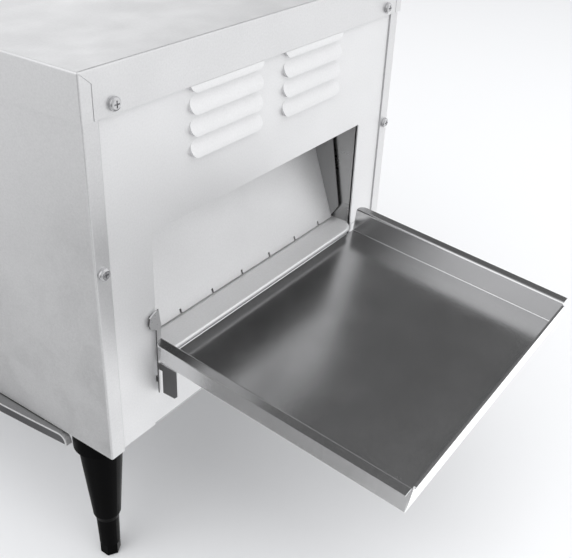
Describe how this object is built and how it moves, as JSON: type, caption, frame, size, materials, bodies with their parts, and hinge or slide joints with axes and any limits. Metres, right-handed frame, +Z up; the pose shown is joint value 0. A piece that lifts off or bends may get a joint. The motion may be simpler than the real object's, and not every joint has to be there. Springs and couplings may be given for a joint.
{
  "type": "countertop conveyor oven",
  "caption": "Brushed-steel countertop conveyor oven with louvred end, wire belt, steep discharge slide, sloping catch tray and black tapered legs.",
  "frame": {"origin": "centre of the bounding box at the level of the feet", "axes": "+X out of the discharge end, -Y out of the control side, +Z up"},
  "size_m": [1.0058, 0.3998, 0.418],
  "materials": {
    "panel_steel": "fine brushed stainless",
    "tray_steel": "bright brushed stainless",
    "liner_steel": "mill finish aluminised steel",
    "zinc_steel": "zinc plated",
    "wire_steel": "bright wire, heat tinted",
    "shaft_steel": "ground bar",
    "screw_chrome": "bright",
    "heater_sheath": "oxidised sheath",
    "reflector_sheet": "polished",
    "bush_brass": "plain",
    "leg_black": "matte moulded",
    "foot_black": "matte moulded",
    "grip_grey": "matte moulded",
    "knob_black": "satin moulded",
    "ceramic_white": null,
    "blanket_fibre": "fibre blanket",
    "motor_paint": "satin paint",
    "fan_black": "moulded",
    "bezel_grey": "satin powder coat",
    "rocker_black": "gloss moulded",
    "lamp_amber": "translucent",
    "terminal_cream": "moulded",
    "gland_black": "moulded"
  },
  "bodies": {
    "chassis": {"lid_cover": "panel_steel", "front_panel": "panel_steel", "rear_panel": "panel_steel", "exit_end_panel": "panel_steel", "infeed_end_panel": "panel_steel", "base_pan": "liner_steel", "crumb_tray_rails": "zinc_steel", "chamber_front_liner": "liner_steel", "chamber_rear_liner": "liner_steel", "chamber_roof": "liner_steel", "insulation_blanket": "blanket_fibre", "upper_reflector": "reflector_sheet", "chute_slide": "panel_steel", "chute_gussets": "liner_steel", "chute_nose": "panel_steel", "conveyor_rail_front": "panel_steel", "conveyor_rail_rear": "panel_steel", "shaft_bushings": "bush_brass", "conveyor_belt": "wire_steel", "belt_support_bars": "shaft_steel", "upper_heaters": "heater_sheath", "lower_heaters": "heater_sheath", "heater_end_caps": "ceramic_white", "gearmotor": "motor_paint", "motor_bracket": "zinc_steel", "drive_chain": "zinc_steel", "fan_frame": "fan_black", "fan_guard": "screw_chrome", "fan_screws": "screw_chrome", "control_bezel": "bezel_grey", "bezel_screws": "screw_chrome", "dial_bodies": "zinc_steel", "rocker_housing": "rocker_black", "indicator_lamps": "lamp_amber", "power_gland": "gland_black", "terminal_block": "terminal_cream", "legs": "leg_black", "leg_nuts": "zinc_steel", "lid_screws": "screw_chrome", "flange_screws": "screw_chrome"},
    "drive_train": {"drive_shaft": "shaft_steel", "drive_sprockets": "zinc_steel", "chain_sprocket": "zinc_steel"},
    "idler": {"idler_shaft": "shaft_steel", "idler_sprockets": "zinc_steel"},
    "motor_output": {"motor_sprocket": "zinc_steel"},
    "fan": {"fan_rotor": "fan_black"},
    "upper_heat_dial": {"heat_knob_upper": "knob_black"},
    "lower_heat_dial": {"heat_knob_lower": "knob_black"},
    "speed_dial": {"speed_knob": "knob_black"},
    "rocker": {"rocker_button": "rocker_black"},
    "crumb_drawer": {"crumb_tray": "liner_steel", "crumb_tray_grip": "grip_grey"},
    "tray_unit": {"catch_tray": "tray_steel", "tray_hanger_front": "panel_steel", "tray_hanger_rear": "panel_steel"},
    "exit_front_foot": {"foot_front_exit": "foot_black"},
    "exit_rear_foot": {"foot_rear_exit": "foot_black"},
    "infeed_front_foot": {"foot_front_infeed": "foot_black"},
    "infeed_rear_foot": {"foot_rear_infeed": "foot_black"}
  },
  "joints": [
    {"name": "drive_spin", "type": "hinge", "parent": "chassis", "child": "drive_train", "pos_m": [0.20208, 0.0049, 0.29], "axis": [0, 1, 0], "continuous": true},
    {"name": "idler_spin", "type": "hinge", "parent": "chassis", "child": "idler", "pos_m": [-0.47592, 0.0049, 0.29], "axis": [0, 1, 0], "continuous": true},
    {"name": "motor_spin", "type": "hinge", "parent": "chassis", "child": "motor_output", "pos_m": [0.12608, -0.1606, 0.221], "axis": [0, 1, 0], "continuous": true},
    {"name": "fan_spin", "type": "hinge", "parent": "chassis", "child": "fan", "pos_m": [-0.17592, 0.1749, 0.253], "axis": [0, 1, 0], "continuous": true},
    {"name": "upper_heat_dial_turn", "type": "hinge", "parent": "chassis", "child": "upper_heat_dial", "pos_m": [-0.12092, -0.1881, 0.267], "axis": [0, 1, 0], "range_deg": [0, 300]},
    {"name": "lower_heat_dial_turn", "type": "hinge", "parent": "chassis", "child": "lower_heat_dial", "pos_m": [-0.05092, -0.1881, 0.267], "axis": [0, 1, 0], "range_deg": [0, 300]},
    {"name": "speed_dial_turn", "type": "hinge", "parent": "chassis", "child": "speed_dial", "pos_m": [0.01908, -0.1881, 0.267], "axis": [0, 1, 0], "range_deg": [0, 300]},
    {"name": "rocker_tilt", "type": "hinge", "parent": "chassis", "child": "rocker", "pos_m": [0.07608, -0.1769, 0.267], "axis": [1, 0, 0], "range_deg": [-20, 0]},
    {"name": "crumb_drawer_pull", "type": "slide", "parent": "chassis", "child": "crumb_drawer", "axis": [0, -1, 0], "range_m": [0, 0.3]},
    {"name": "tray_lift_off", "type": "slide", "parent": "chassis", "child": "tray_unit", "axis": [1, 0, 0], "range_m": [0, 0.24]},
    {"name": "exit_front_foot_level", "type": "slide", "parent": "chassis", "child": "exit_front_foot", "axis": [0, 0, -1], "range_m": [0, 0.015]},
    {"name": "exit_rear_foot_level", "type": "slide", "parent": "chassis", "child": "exit_rear_foot", "axis": [0, 0, -1], "range_m": [0, 0.015]},
    {"name": "infeed_front_foot_level", "type": "slide", "parent": "chassis", "child": "infeed_front_foot", "axis": [0, 0, -1], "range_m": [0, 0.015]},
    {"name": "infeed_rear_foot_level", "type": "slide", "parent": "chassis", "child": "infeed_rear_foot", "axis": [0, 0, -1], "range_m": [0, 0.015]}
  ],
  "couplings": [
    {"joint": "idler_spin", "follows": "drive_spin", "ratio": 1},
    {"joint": "motor_spin", "follows": "drive_spin", "ratio": 1.8182}
  ]
}
